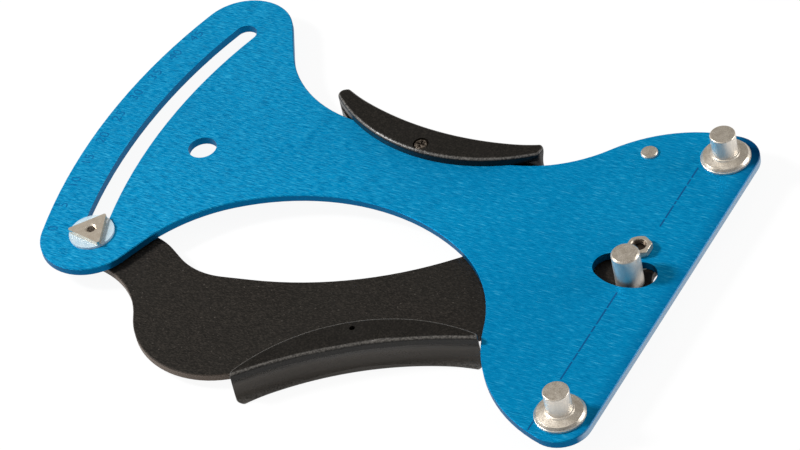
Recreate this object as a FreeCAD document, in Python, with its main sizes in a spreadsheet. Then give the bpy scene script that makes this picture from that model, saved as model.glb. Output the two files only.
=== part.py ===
"""Spoke tension meter: a flat hand tool that bends a bicycle spoke between three posts.

The scale plate carries two fixed posts on its straight edge and an arc slot at its far end. The lever
plate turns below it on the pivot bolt. Squeezing the two grips swings the lever, which carries the
moving post towards the spoke's other side and the pointer along the slot.

Millimetres. While the pieces are drawn the pivot's axis is the Z axis, the scale plate's top face is at
zero, X runs along the tool towards the straight edge and Y runs along the spoke. Every piece is then
moved by one frame shift, so that the origin is the middle of the tool's box, at its lowest point.
"""
import FreeCAD, Part
import Sketcher

import math
import os

# Driving sizes of the tool, in millimetres and degrees, one group for each piece.
SIZES = {
    # Scale plate
    "plate_thickness": 3.0,
    "plate_edge_break": 0.3,
    "scale_reach": 214.5,
    "edge_reach": 20.2,
    "lobe_radius": 18.0,
    "lobe_angle": 16.2,
    "tip_radius": 11.0,
    "upper_tip_rise": 0.37,
    "lower_tip_drop": 1.23,
    "upper_lobe_gap": 1.894,
    "lower_lobe_gap": 0.572,
    "slot_inset": 18.8,
    "slot_half_width": 4.2,
    "hang_hole_radius": 5.15,
    "hang_hole_inset": 42.3,
    "hang_hole_side": 3.8,
    "window_half_width": 6.0,
    "window_start_angle": 33.0,
    "window_end_angle": 26.0,
    # Lever plate
    "lever_thickness": 3.0,
    "plate_gap": 0.8,
    "lever_head_radius": 9.5,
    "lever_nose_radius": 7.3,
    "lever_ear_radius": 4.6,
    "lever_ear_hollow_radius": 6.0,
    # Fixed posts
    "post_spacing": 127.0,
    "post_middle_offset": 13.37,
    "post_inset": 11.59,
    "post_radius": 4.48,
    "post_height": 11.2,
    "post_chamfer": 0.45,
    "flange_radius": 8.75,
    "flange_rim_height": 0.8,
    "flange_bevel_width": 0.85,
    "flange_bevel_height": 1.1,
    "flange_cone_rise": 0.7,
    "collar_radius": 5.1,
    "collar_height": 0.4,
    "spigot_radius": 3.6,
    "spigot_head_radius": 4.9,
    "spigot_head_height": 0.9,
    # Moving post
    "moving_post_radius": 4.9,
    "moving_post_height": 10.4,
    "moving_post_reach": 11.9,
    "moving_post_angle": 7.9,
    "moving_post_chamfer": 0.55,
    "moving_spigot_radius": 3.2,
    # Pivot
    "bolt_radius": 2.5,
    "bolt_end_depth": 1.7,
    "nut_flats": 8.0,
    "nut_thickness": 2.7,
    "nut_chamfer": 0.45,
    "bolt_head_height": 2.6,
    "washer_radius": 6.0,
    "rear_washer_thickness": 0.6,
    # Grips
    "grip_outer_radius": 118.0,
    "grip_ridge_radius": 160.0,
    "grip_inner_radius": 67.0,
    "grip_screw_to_palm": 8.2,
    "grip_screw_to_ridge": 7.9,
    "grip_screw_to_lip": 3.75,
    "grip_wall": 2.6,
    "grip_shallow_lip": 3.3,
    "grip_deep_lip": 7.1,
    "grip_horn_radius": 2.5,
    "grip_blunt_reach": 41.8,
    "grip_corner_radius": 1.6,
    "grip_corner_slack": 0.005,
    "grip_edge_fillet": 1.1,
    "grip_ridge_fillet": 1.3,
    "grip_ridge_height": 3.2,
    "grip_cove_radius": 8.4,
    "grip_flare": 2.4,
    # Grip screws
    "screw_shank_radius": 1.4,
    "screw_head_radius": 2.75,
    "screw_head_height": 1.5,
    "screw_head_sink": 0.15,
    "screw_length": 10.4,
    "screw_recess_width": 0.7,
    "screw_recess_reach": 1.5,
    "screw_recess_depth": 0.9,
    "grip_vent_radius": 1.0,
    # Pointer stack
    "pointer_side": 14.2,
    "pointer_corner_radius": 0.7,
    "pointer_thickness": 1.6,
    "pointer_angle": 4.5,
    "pointer_hole_radius": 1.5,
    "pointer_sink_radius": 2.1,
    "pointer_sink_depth": 0.5,
    "pointer_washer_radius": 8.1,
    "pointer_washer_thickness": 0.9,
    "bush_radius": 3.9,
    "slide_washer_radius": 7.4,
    "slide_washer_thickness": 0.6,
    "pointer_screw_head_radius": 3.4,
    "pointer_screw_head_height": 1.7,
    "pointer_screw_drop": 0.6,
    # Return spring and its two studs
    "spring_wire_radius": 0.5,
    "spring_coil_radius": 2.0,
    "spring_turns": 15,
    "spring_hook_straight": 5.8,
    "spring_hook_angle": 230.0,
    "spring_drop": 0.7,
    "stud_neck_radius": 1.35,
    "stud_head_radius": 2.5,
    "stud_head_height": 1.1,
    "stud_shoulder_radius": 3.0,
    "anchor_face_radius": 3.0,
    "anchor_face_height": 1.0,
    "anchor_face_chamfer": 0.35,
    "lever_stud_reach": 10.7,
    "lever_stud_angle": 27.8,
    # Fits shared by the pieces
    "fit_clearance": 0.05,
    "running_gap": 0.1,
    "cut_overrun": 2.0,
}

# The free-form stretches of the two plates, as shares of the scale's reach: places and radii of the
# circles that the outlines follow. The pivot is their zero.
UPPER_SHOULDER_SHARE = 0.248
WAIST_RIGHT_SHARES = (-0.3284, 0.3356, 0.23)
WAIST_MIDDLE_SHARE = 1.6745
WAIST_LEFT_SHARE = 0.2305
HOLLOW_LEFT_SHARE = 0.2784
HOLLOW_MIDDLE_SHARE = 0.3905
HOLLOW_RIGHT_SHARES = (-0.3917, -0.3064, 0.2442)
LOWER_SHOULDER_SHARE = 0.2633
HEAD_HOLLOW_SHARE = 0.1569
BELLY_SHARES = (-0.5884, -0.3116, 0.1528)
UNDER_GRIP_SHARE = 2.8
ELBOW_SHARES = (-0.1901, -0.2057, 0.0386)
ARM_SHOULDER_SHARE = 0.333
INNER_EDGE_SHARES = (-0.6894, 0.3354, 0.5923)
INNER_END_SHARES = (-0.6536, -0.1329, 0.1254)
NECK_SHARES = (-0.8056, -0.3352, 0.1263)
UPPER_GRIP_SHARES = (-0.4436, 0.0932)
LOWER_GRIP_SHARES = (-0.3473, -0.3152)
ANCHOR_SHARES = (-0.0825, 0.2042)

# The stops along a spring hook, as shares of its turn.
HOOK_STEP_SHARES = (1.0, 0.67, 0.33, 0.0)

# Directions of the two grips, and from each lobe to the hollow beside it, in degrees from the X axis.
UPPER_GRIP_ANGLE = -3.2
LOWER_GRIP_ANGLE = 30.9
UPPER_LOBE_ANGLE = 17.485
LOWER_LOBE_ANGLE = -13.89

# How wide the cut beyond a grip's ridge reaches, as a share of the ridge's radius.
CUT_WIDTH_SHARE = 0.1

# The crowns of the screws' heads, as shares of the heads' radii.
GRIP_SCREW_CROWN_SHARE = 0.75
POINTER_SCREW_CROWN_SHARE = 0.8

# Whole and part turns, in degrees.
QUARTER_ANGLE = 90.0
THIRD_ANGLE = 120.0
HALF_ANGLE = 180.0
FULL_ANGLE = 360.0

# Outlines run counterclockwise round the solid, so a convex stretch turns left and a hollow one right.
CONVEX = 1
HOLLOW = -1
TOUCHING = 1e-5


class Size:
    """A length, angle or ratio that keeps its number beside its formula in the sheet."""

    def __init__(self, number, formula):
        self.number = number
        self.formula = formula

    def joined(self, sign, other, number):
        """Return self and other joined by an arithmetic sign."""
        return Size(number, f"({self.formula} {sign} {as_size(other).formula})")

    def __add__(self, other):
        return self.joined("+", other, self.number + as_size(other).number)

    def __sub__(self, other):
        return self.joined("-", other, self.number - as_size(other).number)

    def __mul__(self, other):
        return self.joined("*", other, self.number * as_size(other).number)

    def __truediv__(self, other):
        return self.joined("/", other, self.number / as_size(other).number)

    def __neg__(self):
        return Size(-self.number, f"(0 - {self.formula})")


def as_size(value):
    """Return value as a Size: a plain number is its own formula."""
    return value if isinstance(value, Size) else Size(value, repr(value))


def cosine(angle):
    """Return the cosine of an angle in degrees."""
    return Size(math.cos(math.radians(angle.number)), f"cos({angle.formula} * 1 deg)")


def sine(angle):
    """Return the sine of an angle in degrees."""
    return Size(math.sin(math.radians(angle.number)), f"sin({angle.formula} * 1 deg)")


def root(square):
    """Return the square root of a Size."""
    return Size(math.sqrt(square.number), f"sqrt({square.formula})")


# The document, and the sheet that holds the driving sizes.
doc = FreeCAD.newDocument("SpokeTensionMeter")
sheet = doc.addObject("Spreadsheet::Sheet", "Sheet")
for row, (alias, number) in enumerate(SIZES.items(), start=1):
    sheet.set(f"A{row}", alias)
    sheet.set(f"B{row}", str(number))
    sheet.setAlias(f"B{row}", alias)
FRAME_CELLS = ("frame_x", "frame_y", "frame_z")
for row, alias in enumerate(FRAME_CELLS, start=len(SIZES) + 1):
    sheet.set(f"A{row}", alias)
    sheet.set(f"B{row}", "0")
    sheet.setAlias(f"B{row}", alias)
doc.recompute()


def size(alias):
    """Return the driving size of that name."""
    return Size(float(SIZES[alias]), f"Sheet.{alias}")


ZERO = as_size(0.0)
reach = size("scale_reach")
plate = size("plate_thickness")
lever = size("lever_thickness")
clearance = size("fit_clearance")
gap = size("running_gap")
overrun = size("cut_overrun")
lever_top = -(plate + size("plate_gap"))
lever_bottom = lever_top - lever


def placed(shares):
    """Return the circle or point that a row of shares gives on the plates."""
    return [reach * share for share in shares]


def polar(radius, angle):
    """Return the place at that radius from the pivot and that angle from the X axis."""
    return [radius * cosine(angle), radius * sine(angle)]


class Round:
    """One circle that an outline follows, convex or hollow; a blend has no centre of its own."""

    def __init__(self, turn, radius, centre=None):
        self.turn = turn
        self.radius = radius
        self.centre = centre
        self.signed = turn * radius.number
        self.middle = None if centre is None else FreeCAD.Vector(centre[0].number, centre[1].number)


def convex(x, y, radius):
    return Round(CONVEX, radius, (x, y))


def hollow(x, y, radius):
    return Round(HOLLOW, radius, (x, y))


def convex_blend(radius):
    return Round(CONVEX, radius)


def hollow_blend(radius):
    return Round(HOLLOW, radius)


def left_of(vector):
    """Return the vector turned a quarter turn to the left."""
    return FreeCAD.Vector(-vector.y, vector.x)


def tangent_points(first, second):
    """Return where the outline leaves one circle and meets the next, along their common tangent."""
    between = second.middle - first.middle
    offset = second.signed - first.signed
    distance_squared = between.dot(between)
    length = math.sqrt(max(distance_squared - offset * offset, 0.0))
    direction = (between * length - left_of(between) * offset) * (1.0 / distance_squared)
    normal = left_of(direction)
    return first.middle - normal * first.signed, second.middle - normal * second.signed


def swept_angle(circle, start, end):
    """Return the angle in which the outline turns from start to end on a circle."""
    first = math.atan2(start.y - circle.middle.y, start.x - circle.middle.x)
    last = math.atan2(end.y - circle.middle.y, end.x - circle.middle.x)
    return (circle.turn * (last - first)) % math.tau


def seat_blend(before, blend, after):
    """Place a blend so that it touches both neighbours, on the side with the shorter turn."""
    to_before = abs(blend.signed - before.signed)
    to_after = abs(after.signed - blend.signed)
    between = after.middle - before.middle
    distance = between.Length
    along = (to_before**2 - to_after**2 + distance**2) / (2 * distance)
    across = math.sqrt(to_before**2 - along**2)
    unit = between * (1.0 / distance)
    choices = []
    for side in (across, -across):
        blend.middle = before.middle + unit * along + left_of(unit) * side
        start = tangent_points(before, blend)[1]
        end = tangent_points(blend, after)[0]
        choices.append((swept_angle(blend, start, end), side, blend.middle))
    blend.middle = min(choices)[2]


def bind(sketch, constraint, length):
    """Add a constraint to a sketch and bind it to the sheet."""
    index = sketch.addConstraint(Sketcher.Constraint(*constraint, length.number))
    sketch.setExpression(f"Constraints[{index}]", length.formula)


def pin_point(sketch, geometry, point, place):
    """Hold a point of the sketch at its distances from the origin."""
    bind(sketch, ("DistanceX", -1, 1, geometry, point), place[0])
    bind(sketch, ("DistanceY", -1, 1, geometry, point), place[1])


def draw_outline(sketch, rounds):
    """Draw a closed outline of arcs and lines, each tangent to the next."""
    count = len(rounds)
    for index, item in enumerate(rounds):
        if item.centre is None:
            seat_blend(rounds[index - 1], item, rounds[(index + 1) % count])
    joints = [tangent_points(rounds[index], rounds[(index + 1) % count]) for index in range(count)]
    pieces = []
    for index, item in enumerate(rounds):
        start = joints[index - 1][1]
        end = joints[index][0]
        first, last = (start, end) if item.turn == CONVEX else (end, start)
        circle = Part.Circle(item.middle, FreeCAD.Vector(0, 0, 1), item.radius.number)
        arc = Part.ArcOfCircle(circle, circle.parameter(first), circle.parameter(last))
        arc_index = sketch.addGeometry(arc)
        pieces.append((arc_index, 1, 2) if item.turn == CONVEX else (arc_index, 2, 1))
        next_start = joints[index][1]
        if (next_start - end).Length > TOUCHING * item.radius.number:
            pieces.append((sketch.addGeometry(Part.LineSegment(end, next_start)), 1, 2))
        item.geometry = arc_index
    for index, piece in enumerate(pieces):
        following = pieces[(index + 1) % len(pieces)]
        sketch.addConstraint(Sketcher.Constraint("Tangent", piece[0], piece[2], following[0], following[1]))
    for item in rounds:
        bind(sketch, ("Radius", item.geometry), item.radius)
        if item.centre is not None:
            pin_point(sketch, item.geometry, 3, item.centre)


def draw_polygon(sketch, corners):
    """Draw a closed polygon through places given as pairs of sizes."""
    points = [FreeCAD.Vector(x.number, y.number) for x, y in corners]
    count = len(points)
    lines = [sketch.addGeometry(Part.LineSegment(points[i], points[(i + 1) % count])) for i in range(count)]
    for index, line in enumerate(lines):
        sketch.addConstraint(Sketcher.Constraint("Coincident", line, 2, lines[(index + 1) % count], 1))
        pin_point(sketch, line, 1, corners[index])


def draw_circle(sketch, x, y, radius):
    """Draw a full circle."""
    centre = FreeCAD.Vector(x.number, y.number)
    circle = sketch.addGeometry(Part.Circle(centre, FreeCAD.Vector(0, 0, 1), radius.number))
    bind(sketch, ("Radius", circle), radius)
    pin_point(sketch, circle, 3, (x, y))


def draw_arc_slot(sketch, pitch_radius, half_width, start_angle, end_angle):
    """Draw a slot that is bent round the pivot, between two angles from the X axis."""
    first = polar(pitch_radius, start_angle)
    last = polar(pitch_radius, end_angle)
    outer = convex_blend(pitch_radius + half_width)
    inner = hollow_blend(pitch_radius - half_width)
    draw_outline(sketch, [convex(*first, half_width), outer, convex(*last, half_width), inner])


def draw_hexagon(sketch, flats):
    """Draw a hexagon from its size across flats."""
    corner_radius = flats / math.sqrt(3)
    draw_polygon(sketch, [polar(corner_radius, as_size(60.0 * corner)) for corner in range(6)])


def new_body(label):
    """Start a sub-part."""
    body = doc.addObject("PartDesign::Body", label)
    body.Label = label
    return body


def new_sketch(body, name, level=ZERO, role="XY_Plane"):
    """Add a sketch on one of the body's own planes, lifted by level along the plane's normal."""
    sketch = body.newObject("Sketcher::SketchObject", f"{body.Name}_{name}")
    base_plane = next(item for item in body.Origin.OriginFeatures if item.Role == role)
    sketch.AttachmentSupport = (base_plane, "")
    sketch.MapMode = "FlatFace"
    sketch.setExpression(".AttachmentOffset.Base.z", level.formula)
    return sketch


def pad(body, sketch, length, downwards=False):
    """Raise a solid from a sketch."""
    feature = body.newObject("PartDesign::Pad", f"{sketch.Name}_pad")
    feature.Profile = sketch
    feature.setExpression("Length", length.formula)
    feature.Reversed = downwards
    doc.recompute()
    return feature


def pocket(body, sketch, depth, upwards=False):
    """Cut a sketch into the body, downwards unless told otherwise, and check that it cuts."""
    before = body.Shape.Volume
    feature = body.newObject("PartDesign::Pocket", f"{sketch.Name}_pocket")
    feature.Profile = sketch
    feature.setExpression("Length", depth.formula)
    feature.Reversed = upwards
    doc.recompute()
    if body.Shape.Volume >= before:
        raise RuntimeError(f"{feature.Name} cuts nothing")
    return feature


def revolve(body, sketch, cut=False):
    """Turn a profile about the sketch's own vertical axis, as a solid or as a cut."""
    before = 0.0 if body.Shape.isNull() else body.Shape.Volume
    kind = "PartDesign::Groove" if cut else "PartDesign::Revolution"
    feature = body.newObject(kind, f"{sketch.Name}_turned")
    feature.Profile = sketch
    feature.ReferenceAxis = (sketch, ["V_Axis"])
    feature.Angle = FULL_ANGLE
    doc.recompute()
    if cut == (body.Shape.Volume >= before):
        raise RuntimeError(f"{feature.Name} leaves the volume as it was")
    return feature


def level_faces(feature, level):
    """Return the names of a feature's flat faces that lie at a level."""
    names = []
    for number, face in enumerate(feature.Shape.Faces, start=1):
        flat = face.BoundBox.ZLength < TOUCHING
        if flat and abs(face.BoundBox.ZMin - level.number) < TOUCHING:
            names.append(f"Face{number}")
    return names


def dress(body, kind, base, levels, amount, note=""):
    """Fillet or chamfer all edges of a feature's flat faces at the given levels."""
    feature = body.newObject(f"PartDesign::{kind}", f"{body.Name}_{kind}{note}")
    names = [name for level in levels for name in level_faces(base, level)]
    feature.Base = (base, names)
    feature.setExpression("Radius" if kind == "Fillet" else "Size", amount.formula)
    doc.recompute()
    return feature


def turned_piece(label, profile):
    """Make a turned sub-part from its half profile, as pairs of radius and height."""
    body = new_body(label)
    sketch = new_sketch(body, "profile", role="XZ_Plane")
    draw_polygon(sketch, profile)
    revolve(body, sketch)
    return body


def put(body, place, level=ZERO, turn=ZERO, turned_over=False):
    """Set a sub-part down at its place and level, turned about the vertical, in the tool's frame.

    A piece that is turned over makes a half turn about an axis in the plates' plane, at half its turn.
    """
    half = math.radians(turn.number) / 2
    if turned_over:
        rotation = FreeCAD.Rotation(FreeCAD.Vector(math.cos(half), math.sin(half), 0), HALF_ANGLE)
    else:
        rotation = FreeCAD.Rotation(FreeCAD.Vector(0, 0, 1), turn.number)
    body.Placement = FreeCAD.Placement(FreeCAD.Vector(), rotation)
    for axis, cell, value in zip("xyz", FRAME_CELLS, (place[0], place[1], level)):
        body.setExpression(f".Placement.Base.{axis}", f"{value.formula} + Sheet.{cell}")
    if not turned_over:
        body.setExpression(".Placement.Rotation.Angle", f"{turn.formula} * 1 deg")


# Places that several pieces share.
ORIGIN = (ZERO, ZERO)
lobe_x, lobe_y = polar(reach - size("lobe_radius"), as_size(HALF_ANGLE) - size("lobe_angle"))
post_x = size("edge_reach") - size("post_inset")
upper_post = (post_x, size("post_spacing") / 2 - size("post_middle_offset"))
lower_post = (post_x, -(size("post_spacing") / 2) - size("post_middle_offset"))
slot_radius = reach - size("slot_inset")
pointer_place = polar(slot_radius, as_size(HALF_ANGLE) + size("lobe_angle"))
moving_post_place = polar(size("moving_post_reach"), size("moving_post_angle") - QUARTER_ANGLE)
anchor_place = placed(ANCHOR_SHARES)
lever_stud_place = polar(size("lever_stud_reach"), size("lever_stud_angle"))
upper_grip_place = placed(UPPER_GRIP_SHARES)
lower_grip_place = placed(LOWER_GRIP_SHARES)
spring_level = lever_bottom - size("spring_drop")
stud_head_top = spring_level - size("spring_wire_radius") - gap
stud_bottom = stud_head_top - size("stud_head_height")
seat_depth = size("screw_head_height") + size("screw_head_sink")
slide_gap = gap / 2


def beside_lobe(lobe_place, angle, share, spacing):
    """Return the hollow circle beside a lobe, at an angle and a small gap from the lobe's own circle."""
    radius = reach * share
    away = polar(size("lobe_radius") + radius + spacing, as_size(angle))
    return lobe_place[0] + away[0], lobe_place[1] + away[1], radius


def make_scale_plate():
    """Flat plate with the arc slot, hang hole, window and the holes for what it carries."""
    body = new_body("scale_plate")
    outline = new_sketch(body, "outline", -plate)
    tip = size("tip_radius")
    lobe = size("lobe_radius")
    tip_x = size("edge_reach") - tip
    upper_gap = size("upper_lobe_gap")
    lower_gap = size("lower_lobe_gap")
    draw_outline(outline, [
        convex(tip_x, lower_post[1] - size("lower_tip_drop"), tip),
        convex(tip_x, upper_post[1] + size("upper_tip_rise"), tip),
        convex_blend(reach * UPPER_SHOULDER_SHARE),
        hollow(*placed(WAIST_RIGHT_SHARES)),
        hollow_blend(reach * WAIST_MIDDLE_SHARE),
        hollow(*beside_lobe((lobe_x, lobe_y), UPPER_LOBE_ANGLE, WAIST_LEFT_SHARE, upper_gap)),
        convex(lobe_x, lobe_y, lobe),
        convex_blend(reach),
        convex(lobe_x, -lobe_y, lobe),
        hollow(*beside_lobe((lobe_x, -lobe_y), LOWER_LOBE_ANGLE, HOLLOW_LEFT_SHARE, lower_gap)),
        hollow_blend(reach * HOLLOW_MIDDLE_SHARE),
        hollow(*placed(HOLLOW_RIGHT_SHARES)),
        convex_blend(reach * LOWER_SHOULDER_SHARE),
    ])
    blank = pad(body, outline, plate)
    dress(body, "Chamfer", blank, (ZERO, -plate), size("plate_edge_break"))
    slots = new_sketch(body, "slots", overrun)
    middle = as_size(HALF_ANGLE)
    angle = size("lobe_angle")
    draw_arc_slot(slots, slot_radius, size("slot_half_width"), middle - angle, middle + angle)
    start = -(size("window_start_angle") + QUARTER_ANGLE)
    end = size("window_end_angle") - QUARTER_ANGLE
    draw_arc_slot(slots, size("moving_post_reach"), size("window_half_width"), start, end)
    pocket(body, slots, plate + overrun * 2)
    holes = new_sketch(body, "holes", overrun)
    hang_x = size("hang_hole_inset") - reach
    draw_circle(holes, hang_x, -size("hang_hole_side"), size("hang_hole_radius"))
    draw_circle(holes, ZERO, ZERO, size("bolt_radius") + clearance)
    for place in (upper_post, lower_post):
        draw_circle(holes, *place, size("spigot_radius") + clearance)
    draw_circle(holes, *anchor_place, size("stud_neck_radius") + clearance)
    draw_circle(holes, *upper_grip_place, size("screw_shank_radius") + clearance)
    pocket(body, holes, plate + overrun * 2)
    put(body, ORIGIN)
    return body


def make_lever_plate():
    """The plate below, from the hub and its spring ear to the head that carries the pointer."""
    body = new_body("lever_plate")
    outline = new_sketch(body, "outline", lever_bottom)
    draw_outline(outline, [
        convex(*pointer_place, size("lever_head_radius")),
        hollow_blend(reach * HEAD_HOLLOW_SHARE),
        convex(*placed(BELLY_SHARES)),
        hollow_blend(reach * UNDER_GRIP_SHARE),
        convex(*placed(ELBOW_SHARES)),
        convex(*moving_post_place, size("lever_nose_radius")),
        hollow_blend(size("lever_ear_hollow_radius")),
        convex(*lever_stud_place, size("lever_ear_radius")),
        convex_blend(reach * ARM_SHOULDER_SHARE),
        hollow(*placed(INNER_EDGE_SHARES)),
        hollow(*placed(INNER_END_SHARES)),
        convex(*placed(NECK_SHARES)),
    ])
    blank = pad(body, outline, lever)
    dress(body, "Chamfer", blank, (lever_top, lever_bottom), size("plate_edge_break"))
    holes = new_sketch(body, "holes", lever_top + overrun)
    draw_circle(holes, ZERO, ZERO, size("bolt_radius") + clearance)
    draw_circle(holes, *moving_post_place, size("moving_spigot_radius") + clearance)
    draw_circle(holes, *lever_stud_place, size("stud_neck_radius") + clearance)
    draw_circle(holes, *lower_grip_place, size("screw_shank_radius") + clearance)
    draw_circle(holes, *pointer_place, size("pointer_hole_radius") + clearance)
    pocket(body, holes, lever + overrun * 2)
    put(body, ORIGIN)
    return body


def make_fixed_post(label, place):
    """Turned post, riveted through the scale plate: its flange has a bevel, a shallow cone and a collar."""
    chamfer = size("post_chamfer")
    rim = size("flange_rim_height")
    bevel_top = rim + size("flange_bevel_height")
    cone_top = bevel_top + size("flange_cone_rise")
    collar_top = cone_top + size("collar_height")
    head_bottom = -(plate + size("spigot_head_height"))
    body = turned_piece(label, [
        (ZERO, head_bottom),
        (size("spigot_head_radius") - chamfer, head_bottom),
        (size("spigot_head_radius"), -plate),
        (size("spigot_radius"), -plate),
        (size("spigot_radius"), ZERO),
        (size("flange_radius"), ZERO),
        (size("flange_radius"), rim),
        (size("flange_radius") - size("flange_bevel_width"), bevel_top),
        (size("collar_radius"), cone_top),
        (size("collar_radius"), collar_top),
        (size("post_radius"), collar_top),
        (size("post_radius"), size("post_height") - chamfer),
        (size("post_radius") - chamfer, size("post_height")),
        (ZERO, size("post_height")),
    ])
    put(body, place)
    return body


def make_moving_post():
    """Plain turned post that stands on the lever and comes up through the window."""
    chamfer = size("moving_post_chamfer")
    head_bottom = lever_bottom - size("spigot_head_height")
    body = turned_piece("moving_post", [
        (ZERO, head_bottom),
        (size("moving_post_radius") - chamfer, head_bottom),
        (size("moving_post_radius") - chamfer, lever_bottom),
        (size("moving_spigot_radius"), lever_bottom),
        (size("moving_spigot_radius"), lever_top),
        (size("moving_post_radius"), lever_top),
        (size("moving_post_radius"), size("moving_post_height") - chamfer),
        (size("moving_post_radius") - chamfer, size("moving_post_height")),
        (ZERO, size("moving_post_height")),
    ])
    put(body, moving_post_place)
    return body


def make_washer(label, place, radius, bore, level, thickness):
    """Flat ring."""
    body = new_body(label)
    sketch = new_sketch(body, "ring")
    draw_circle(sketch, ZERO, ZERO, radius)
    draw_circle(sketch, ZERO, ZERO, bore)
    pad(body, sketch, thickness)
    put(body, place, level)
    return body


def round_corners(body, radius, level, edge):
    """Turn the corners of a hexagon down at a face: a cone cut that rises away from the rim."""
    sketch = new_sketch(body, "corners", role="XZ_Plane")
    outside = radius + overrun
    inside = radius - edge * 2
    draw_polygon(sketch, [(inside, level), (outside, level - (outside - inside) / 2), (outside, level)])
    revolve(body, sketch, cut=True)


def make_pivot_nut():
    """Thin hexagon nut on the end of the pivot bolt."""
    body = new_body("pivot_nut")
    blank = new_sketch(body, "hexagon")
    draw_hexagon(blank, size("nut_flats"))
    pad(body, blank, size("nut_thickness"))
    round_corners(body, size("nut_flats") / math.sqrt(3), size("nut_thickness"), size("nut_chamfer"))
    bore = new_sketch(body, "bore", size("nut_thickness") + overrun)
    draw_circle(bore, ZERO, ZERO, size("bolt_radius") + clearance)
    pocket(body, bore, size("nut_thickness") + overrun * 2)
    mouth = new_sketch(body, "mouth", role="XZ_Plane")
    bore_radius = size("bolt_radius") + clearance
    chamfer = size("nut_chamfer")
    top = size("nut_thickness")
    draw_polygon(mouth, [
        (ZERO, top - chamfer),
        (bore_radius, top - chamfer),
        (bore_radius + chamfer, top),
        (ZERO, top),
    ])
    revolve(body, mouth, cut=True)
    put(body, ORIGIN)
    return body


def make_pivot_bolt():
    """Bolt from behind, with its hexagon head under the rear washer."""
    body = new_body("pivot_bolt")
    head_top = lever_bottom - gap - size("rear_washer_thickness")
    head = new_sketch(body, "head", head_top)
    draw_hexagon(head, size("nut_flats"))
    pad(body, head, size("bolt_head_height"), downwards=True)
    shank = new_sketch(body, "shank", head_top)
    draw_circle(shank, ZERO, ZERO, size("bolt_radius"))
    pad(body, shank, size("nut_thickness") - size("bolt_end_depth") - head_top)
    put(body, ORIGIN)
    return body


def make_grip(label, place, held, level, turn, turned_over=False):
    """Moulded grip: a crescent with a channel that takes the held plate's edge between two lips.

    It is drawn with its shallow lip up, its origin on the screw and on the held plate's face. The palm's
    side stands out in a ridge at the deep lip's face, and from there a cove flares out to the other face.
    """
    body = new_body(label)
    palm_radius = size("grip_outer_radius")
    palm_centre = size("grip_screw_to_palm") + palm_radius
    ridge_radius = size("grip_ridge_radius")
    ridge_centre = size("grip_screw_to_ridge") + ridge_radius
    lip_radius = size("grip_inner_radius")
    lip_centre = lip_radius - size("grip_screw_to_lip")
    corner = size("grip_corner_radius")
    corner_x = size("grip_blunt_reach") - corner
    lip_side = lip_centre - chord_side(lip_radius - corner + size("grip_corner_slack"), corner_x)
    palm_side = palm_centre - chord_side(palm_radius + corner + size("grip_corner_slack"), corner_x)
    top = size("grip_shallow_lip")
    bottom = -(held + size("grip_deep_lip"))
    crescent = new_sketch(body, "crescent", bottom)
    draw_outline(crescent, [
        hollow(ZERO, palm_centre, palm_radius),
        convex_blend(size("grip_horn_radius")),
        convex(ZERO, lip_centre, lip_radius),
        convex(corner_x, lip_side, corner),
        convex(corner_x, palm_side, corner),
    ])
    pad(body, crescent, top - bottom)
    corners = cove_corners(ridge_radius, top, bottom)
    cove = cut_round_ridge_axis(body, "cove", ridge_centre, corners, rounded=True)
    ridge = dress(body, "Fillet", cove, (bottom,), size("grip_ridge_fillet"), "_deep")
    dress(body, "Fillet", ridge, (top,), size("grip_edge_fillet"), "_shallow")
    floor = ridge_radius + size("grip_wall")
    mouth = ridge_centre + size("grip_screw_to_lip") + overrun
    channel = [(floor, -held), (mouth, -held), (mouth, ZERO), (floor, ZERO)]
    cut_round_ridge_axis(body, "channel", ridge_centre, channel)
    bore_screw_holes(body, top, bottom)
    put(body, place, level, turn, turned_over)
    return body


def chord_side(radius, half_chord):
    """Return how far a chord of that half length lies from its circle's centre."""
    return root(radius * radius - half_chord * half_chord)


def cove_corners(ridge_radius, top, bottom):
    """Return the cut beyond the ridge as radii and heights: its last side, from end to start, is the cove."""
    start = (ridge_radius, bottom + size("grip_ridge_height"))
    end = (ridge_radius - size("grip_flare"), top)
    outside = ridge_radius - size("grip_ridge_radius") * CUT_WIDTH_SHARE
    foot = bottom - overrun
    return [start, (ridge_radius, foot), (outside, foot), (outside, top), end]


def cut_round_ridge_axis(body, name, ridge_centre, profile, rounded=False):
    """Cut a profile, as radii from the ridge arc's axis and heights, all along that arc."""
    sketch = new_sketch(body, name, role="YZ_Plane")
    corners = [(ridge_centre - radius, height) for radius, height in profile]
    if rounded:
        draw_coved_polygon(sketch, corners, size("grip_cove_radius"))
    else:
        draw_polygon(sketch, corners)
    low = FreeCAD.Vector(ridge_centre.number, -overrun.number)
    high = FreeCAD.Vector(ridge_centre.number, overrun.number)
    axis_line = sketch.addGeometry(Part.LineSegment(low, high), True)
    pin_point(sketch, axis_line, 1, (ridge_centre, -overrun))
    pin_point(sketch, axis_line, 2, (ridge_centre, overrun))
    before = body.Shape.Volume
    feature = body.newObject("PartDesign::Groove", f"{body.Name}_{name}_groove")
    feature.Profile = sketch
    feature.ReferenceAxis = (sketch, ["Axis0"])
    feature.Angle = FULL_ANGLE
    doc.recompute()
    if body.Shape.Volume >= before:
        raise RuntimeError(f"{feature.Name} cuts nothing")
    return feature


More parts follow.
